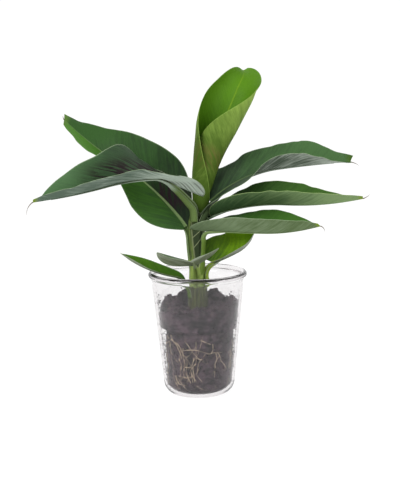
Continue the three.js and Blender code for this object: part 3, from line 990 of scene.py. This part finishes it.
def midrib(leaf, places):
    """Points, headings, sides and ups at places along a leaf. The line is the sum of small steps
    along the heading from the root, and side and up are rolled about it."""
    shares = np.asarray(leaf["stations"])
    stations = np.concatenate([[0], leaf["petiole"] + leaf["blade"] * shares])
    fine = np.linspace(0, stations[-1], 600)
    middle = (fine[1:] + fine[:-1]) / 2
    read = {key: np.interp(places, stations, leaf[key]) for key in ("pitch", "yaw", "roll")}
    turns = [np.interp(middle, stations, leaf[key]) for key in ("pitch", "yaw")]
    steps = heading(*turns) * np.diff(fine)[:, None]
    track = leaf["root"] + np.concatenate([np.zeros((1, 3)), np.cumsum(steps, 0)])
    point = np.stack([np.interp(places, fine, axis) for axis in track.T], -1)
    along = heading(read["pitch"], read["yaw"])
    yaw = np.radians(read["yaw"])
    level = np.stack([-np.sin(yaw), np.cos(yaw), 0 * yaw], -1)
    rise = np.cross(along, level)
    roll = np.radians(read["roll"])[:, None]
    side = level * np.cos(roll) + rise * np.sin(roll)
    up = rise * np.cos(roll) - level * np.sin(roll)
    return point, along, side, up


def half_width(leaf, half, t):
    """Half-width along the blade: a round shoulder up to the widest place, then a taper to a
    blunt end."""
    shoulder = 1 - (1 - np.minimum(t / leaf["widest"], 1)) ** 2
    shoulder = np.sqrt(shoulder) ** half["rise"]
    past = np.maximum(0, (t - leaf["widest"]) / (1 - leaf["widest"]))
    taper = 1 - (1 - leaf["blunt"]) * past ** leaf["taper"]
    share = (half["base"] + (1 - half["base"]) * shoulder) * taper
    return half["width"] * np.maximum(share, 0.02)


def half_blade(leaf, key, t, lines, v, seed):
    """Grid of one half: an arc whose slope runs from fold to fold plus curl, swept back in a lobe
    at its base and ahead at its tip, with a slow ripple that grows towards the margin."""
    half = {**HALF_USUAL, **leaf[key]}
    sign = 1 if key == "left" else -1
    point, along, side, up = (a[:, None] for a in lines)
    shares = half.get("at", leaf["stations"])
    fold = np.radians(eased(t, shares, half["fold"]))[:, None]
    curl = np.radians(eased(t, shares, half.get("curl", np.zeros(len(shares)))))[:, None]
    curl = np.where(np.abs(curl) < 1e-3, 1e-3, curl)
    spots = np.stack([t * leaf["blade"], 0 * t + 40 * seed, 0 * t + 90 * sign], -1)
    wave = rough(spots, LEAF_WAVES)
    width = (half_width(leaf, half, t) * (1 + 0.02 * wave))[:, None]
    out = width * (np.sin(fold + curl * v) - np.sin(fold)) / curl
    rise = width * (np.cos(fold) - np.cos(fold + curl * v)) / curl
    ease = (1 - t[:, None]) ** 4 * v ** half["bend"]
    back = half["lobe"] * ease - half["ahead"] * t[:, None] ** 10 * v
    ripple = leaf["ripple"] * wave[:, None] * v**2.5 * np.minimum(1, width / 12)
    if "heave" in half:
        ripple = ripple + eased(t, half["heave_at"], half["heave"])[:, None] * v**2
    out = out - ripple * np.sin(fold + curl * v)
    rise = rise + ripple * np.cos(fold + curl * v) - half["droop"] * ease
    grid = point + sign * side * out[..., None] + up * rise[..., None] - along * back[..., None]
    return grid, width * v, width * (1 - v), back


def blade_rings(leaf, rows, seed):
    """Closed rings of the blade and its marks: the sheet of both halves is set off both ways along
    its normal, with low ridges along the veins and a thin margin. A vein leaves the midrib at a
    narrow angle and bends out."""
    t = np.linspace(0, 1, rows)
    lines = midrib(leaf, leaf["petiole"] + leaf["blade"] * t)
    step = np.linspace(0, 1, leaf["across"] + 1)
    v = (0.55 * step + 0.45 * np.sin(step * np.pi / 2))[None, :]
    left = half_blade(leaf, "left", t, lines, v, seed)
    right = half_blade(leaf, "right", t, lines, v, seed)
    pairs = zip(left, right)
    sheet, mid, rim, back = (np.concatenate([r[:, :0:-1], a], 1) for a, r in pairs)
    reach = np.concatenate([-v[:, :0:-1], v], 1) + 0 * t[:, None]
    place = leaf["blade"] * t[:, None] - back
    sweep = leaf["sweep"] * mid + VEIN_LEAN * (1 - np.exp(-mid / VEIN_BEND))
    vein = (place - sweep) / VEIN_GAP
    normal = np.cross(np.gradient(sheet, axis=0), np.gradient(sheet, axis=1))
    normal /= np.maximum(np.linalg.norm(normal, axis=-1, keepdims=True), 1e-9)
    ridge = VEIN_HEIGHT * np.cos(2 * np.pi * vein)
    ridge = ridge * np.minimum(1, mid / 3) * np.minimum(1, rim / 2)
    sheet = sheet + normal * ridge[..., None]
    thick = BLADE_THICK / 2 * (MARGIN_THIN + (1 - MARGIN_THIN) * np.minimum(1, rim / 1.5))
    lift = normal * thick[..., None]
    rings = np.concatenate([sheet + lift, (sheet - lift)[:, ::-1]], 1)
    both = {
        "along": t[:, None] + 0 * reach,
        "mid": mid,
        "rim": rim,
        "vein": vein + 60 * (reach > 0),
        "left": (reach > 0) * 1.0,
    }
    marks = {key: np.concatenate([a, a[:, ::-1]], 1) for key, a in both.items()}
    marks["under"] = np.concatenate([0 * reach, 1 + 0 * reach], 1)
    marks["stalk"] = 0 * marks["under"]
    return rings, marks


def spread(marks, rings):
    """Marks that are given once, by row or by column, as arrays over every point of the rings."""
    return {key: np.broadcast_to(value, rings.shape[:2]) for key, value in marks.items()}


def stalk_rings(leaf, rows):
    """Rings of the channelled stalk: each is an arc below and a hollow above, between two wings.
    Its foot runs down the stem as a low ridge that sinks into it, and its top runs on under the
    blade as a slim keel."""
    petiole = leaf["petiole"]
    neck, end = (petiole + share * leaf["blade"] for share in KEEL_SPAN)
    places = np.append(np.linspace(0, neck, rows // 2), np.linspace(neck, end, rows // 2)[1:])
    point, _, side, up = midrib(leaf, places)
    foot = np.linspace(1, 0, FOOT_ROWS, endpoint=False)[:, None]
    inward = -np.array([*leaf["root"][:2], 0.0])
    inward /= max(np.linalg.norm(inward), 1e-6)
    fall = point[0] + inward * leaf["stalk"] * leaf["sink"] * foot**1.4
    fall = fall - np.array([0, 0, leaf["foot"]]) * foot
    point = np.concatenate([fall, point])
    side, up = (np.concatenate([np.repeat(a[:1], FOOT_ROWS, 0), a]) for a in (side, up))
    place = np.append(-foot[:, 0] * leaf["foot"], places)
    stations = [-leaf["foot"], 0, 0.5 * petiole, petiole, neck, end]
    form = {key: np.interp(place, stations, STALK_FORM[key])[:, None] for key in STALK_FORM}
    radius, wing = form["radius"] * leaf["stalk"], np.radians(form["wing"])
    share = np.linspace(0, 1, STALK_ARC)[None]
    turn = wing - share * (np.pi + 2 * wing)
    across = np.linspace(0, 1, STALK_HOLLOW + 2)[None, 1:-1]
    hollow = np.sin(wing) - form["hollow"] * np.sin(np.pi * across)
    x = np.concatenate([np.cos(turn), (2 * across - 1) * np.cos(wing)], 1) * radius
    y = np.concatenate([np.sin(turn), hollow], 1) * radius - form["low"] * radius
    rings = point[:, None] + side[:, None] * (x * form["flat"])[..., None]
    rings = rings + up[:, None] * y[..., None]
    from_wing = [np.minimum(share, 1 - share) * 4.5, np.minimum(across, 1 - across) * 2]
    on_blade = np.where(place > petiole, WELL_INSIDE, 0)[:, None]
    marks = {
        "along": ((place - petiole) / leaf["blade"])[:, None],
        "mid": WELL_INSIDE,
        "rim": np.concatenate(from_wing, 1) * radius + on_blade,
        "vein": np.concatenate([share, 1 + across], 1) * 4,
        "left": 0,
        "under": np.concatenate([1 + 0 * share, 0 * across], 1),
        "stalk": 1,
    }
    return rings, spread(marks, rings)


def thread_rings(leaf, rows, sides):
    """Rings of the dry thread on the tip: it leaves along the midrib and bends to its end."""
    point, along, _, _ = midrib(leaf, np.array([leaf["petiole"] + leaf["blade"]]))
    reach = np.asarray(leaf["thread"], float)
    share = np.linspace(0, 1, rows)[:, None]
    bend = along[-1] * np.linalg.norm(reach) * 0.35
    path = point[-1] + bend * share * (1 - share) * 2 + reach * share**1.3
    rings = tube(path, 0.5 * (1 - 0.85 * share[:, 0]), sides)
    marks = {"along": 1, "mid": 0, "rim": WELL_INSIDE, "vein": 0, "left": 0, "under": 0, "stalk": 2}
    return rings, spread(marks, rings)


def leaf_skin(name, leaf):
    """Leaf skin: satin upper face and dull paler under face, both streaked along the veins, with
    a pale midrib and margin, a yellowing tip and, on some, wine-red blotches between the veins."""
    material, shade, skin = new_material(name + "_skin", {"Specular IOR Level": LEAF_GLOSS})
    seen = [shade.mark(key) for key in ("along", "mid", "rim", "vein", "left", "stalk")]
    along, mid, rim, vein, left, stalk = seen
    under = shade.mark("under").rise(0.4, 0.6)
    lay = shade.node("CombineXYZ", {}, {0: vein, 1: mid * 0.05})
    streak = shade.node("TexNoise", {}, {"Vector": lay, "Scale": 0.9, "Detail": 4.0})
    fine = shade.node("TexNoise", {}, {"Vector": lay, "Scale": 4.0, "Detail": 2.0})
    patch = shade.grain(24.0)
    stir = (streak - 0.5) + (fine - 0.5) * 0.5 + (patch - 0.5) * 0.6
    ribs = (vein * (2 * np.pi)).math("COSINE")
    tone = along * 1.3 + stir
    top = tone.colour(*leaf["top"])
    # Painted light: lighter top colours on the near half, where a leaf has them.
    if "painted_light_near_top" in leaf:
        top = left.colour(top, tone.colour(*leaf["painted_light_near_top"]))
    if "blotch" in leaf:
        blotch = leaf["blotch"]
        zone = 1 - abs(along - blotch["at"]).rise(0.35 * blotch["spread"], blotch["spread"])
        zone = zone * (1 - mid.rise(0.45 * blotch["reach"], blotch["reach"]))
        zone = zone * (1 - left * (1 - blotch["near"]))
        spots = (streak + (patch - 0.5) * 0.5).rise(0.42, 0.52)
        top = (zone * spots * 0.92).colour(top, BLOTCH_COLOUR)
    pale = along.rise(*leaf["under_span"]) + stir * leaf["under_stir"]
    pale = pale.colour(*leaf["under"])
    if "stain" in leaf:
        stain = leaf["stain"]
        warm = 1 - abs(along - stain["at"]).rise(0.3 * stain["spread"], stain["spread"])
        pale = (warm * streak.rise(0.35, 0.65) * 0.65).colour(pale, stain["colour"])
    line = leaf.get("line", leaf["rib"])
    face = under.colour(top, pale)
    face = along.rise(0.955, 0.995).colour(face, leaf["tip"])
    spine = 1 - (mid + along * 1.3).rise(0.9, 2.0)
    face = (spine * (1 - under * 0.6) * (1 - along * 0.6)).colour(face, line)
    keel = streak.rise(0.42, 0.62).colour(leaf["rib"], tuple(0.45 * c for c in leaf["rib"]))
    if "channel" in leaf:
        keel = ((1 - under) * 0.85).colour(keel, leaf["channel"])
    ridge = (0.45 - along * 0.3).colour(pale, leaf["keel"])
    keel = (along.rise(leaf["neck"], 0.04) * under).colour(keel, ridge)
    keel = (along.rise(LEAF_USUAL["neck"], 0.04) * (1 - under)).colour(keel, line)
    face = stalk.rise(0.4, 0.6).colour(face, keel)
    edge = 1 - rim.rise(0.3 * leaf["margin_width"], leaf["margin_width"])
    face = (edge * (1 - along.rise(0.9, 0.95)) * 0.75).colour(face, leaf["margin"])
    face = stalk.rise(1.4, 1.6).colour(face, THREAD_COLOUR)
    feed(
        shade,
        skin,
        Base_Color=face,
        Roughness=0.4 + under * 0.2 + patch * 0.15,
        Normal=shade.bump(ribs * 0.12 + streak * 0.7 + fine * 0.4, 0.2),
    )
    return material


def grow_leaf(name, leaf, seed):
    """One leaf as a piece: blade, stalk and, where it has one, the thread on its tip."""
    parts = [blade_rings(leaf, rows=200, seed=seed), stalk_rings(leaf, rows=100)]
    if "thread" in leaf:
        parts.append(thread_rings(leaf, rows=14, sides=8))
    points, faces = joined([capped(rings) for rings, _ in parts])
    keys = parts[0][1].keys()
    marks = {key: np.concatenate([m[key].ravel() for _, m in parts]) for key in keys}
    piece = new_piece(name + "_blade", points, faces, marks)
    close_up(piece)
    piece.data.materials.append(leaf_skin(name, leaf))
    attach(piece, "root")
    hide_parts(name)


for order, (leaf_name, leaf_values) in enumerate(LEAVES.items()):
    grow_leaf(leaf_name, {**LEAF_USUAL, **leaf_values}, seed=order)

# Studio
# A white sweep that curves up behind the plant, two large soft lamps, and a camera with a short
# telephoto lens that looks slightly down at the plant.
SWEEP_WIDTH = 40000.0
SWEEP_FRONT = 20000.0
SWEEP_DEPTH = 1700.0
SWEEP_BEND = 900.0
SWEEP_HEIGHT = 4200.0
SWEEP_COLOUR = (0.12, 0.12, 0.12, 1.0)
SWEEP_GLOW = (0.93, 0.93, 0.93, 1.0)
ROOM_LIGHT = (0.34, 0.34, 0.34, 1.0)
LAMPS = {
    "key_lamp": {"place": (-650, -950, 900), "size": 900, "power": 15.0},
    "fill_lamp": {"place": (900, -800, 700), "size": 900, "power": 7.0},
}
AIM = (0, 0, 150)
CAMERA_PLACE = (2.76, -900.0, 272.8)
CAMERA_PITCH = 8.30
CAMERA_ROLL = 0.95
FOCAL_PIXELS = 1002.0
FRAME_PIXELS = 480.0
SENSOR = 36.0


def sweep_surface():
    """Floor strip from the front, round a quarter circle, and up a wall."""
    bend = arc((SWEEP_DEPTH - SWEEP_BEND, SWEEP_BEND), SWEEP_BEND, -90, 0, 24)
    outline = np.concatenate([[(-SWEEP_FRONT, 0.0)], bend, [(SWEEP_DEPTH, SWEEP_HEIGHT)]])
    ends = np.array([-SWEEP_WIDTH / 2, SWEEP_WIDTH / 2])
    x, y, z = np.broadcast_arrays(ends, outline[:, :1], outline[:, 1:])
    grid = np.stack([x, y, z], -1)
    i = np.arange(len(outline) - 1)[:, None] * 2
    return grid.reshape(-1, 3), np.concatenate([i, i + 1, i + 3, i + 2], 1)


sweep = new_piece("studio_sweep", *sweep_surface())
sweep_inputs = {
    "Base Color": SWEEP_COLOUR,
    "Roughness": 0.9,
    "Emission Color": SWEEP_GLOW,
    "Emission Strength": 1.0,
}
sweep.data.materials.append(new_material("studio_paper", sweep_inputs)[0])

world = bpy.data.worlds.new("studio_room")
world.use_nodes = True
world.node_tree.nodes["Background"].inputs["Color"].default_value = ROOM_LIGHT
bpy.context.scene.world = world


def placed(axes, place):
    """Matrix with three axes as its columns, at a place in millimetres."""
    matrix = np.eye(4)
    matrix[:3, :3] = np.stack(axes, 1)
    matrix[:3, 3] = np.asarray(place) * MM
    return Matrix(matrix)


def aimed(place, target):
    """Matrix at a place with -Z towards a target and no roll."""
    back = np.subtract(place, target) / np.linalg.norm(np.subtract(place, target))
    right = np.cross((0, 0, 1.0), back)
    right /= np.linalg.norm(right)
    return placed([right, np.cross(back, right), back], place)


for lamp_name, lamp_values in LAMPS.items():
    lamp = bpy.data.lights.new(lamp_name, "AREA")
    lamp.size = lamp_values["size"] * MM
    lamp.energy = lamp_values["power"]
    lamp_object = bpy.data.objects.new(lamp_name, lamp)
    lamp_object.matrix_world = aimed(lamp_values["place"], AIM)
    bpy.context.scene.collection.objects.link(lamp_object)

pitch, roll = np.radians(CAMERA_PITCH), np.radians(CAMERA_ROLL)
level = np.array([1.0, 0, 0])
rise = np.array([0, np.sin(pitch), np.cos(pitch)])
camera_axes = [
    level * np.cos(roll) - rise * np.sin(roll),
    level * np.sin(roll) + rise * np.cos(roll),
    [0, -np.cos(pitch), np.sin(pitch)],
]
camera = bpy.data.cameras.new("camera")
camera.sensor_width = SENSOR
camera.lens = FOCAL_PIXELS * SENSOR / FRAME_PIXELS
camera_object = bpy.data.objects.new("camera", camera)
camera_object.matrix_world = placed(camera_axes, CAMERA_PLACE)
bpy.context.scene.collection.objects.link(camera_object)
bpy.context.scene.camera = camera_object
bpy.context.scene.view_settings.view_transform = "Standard"
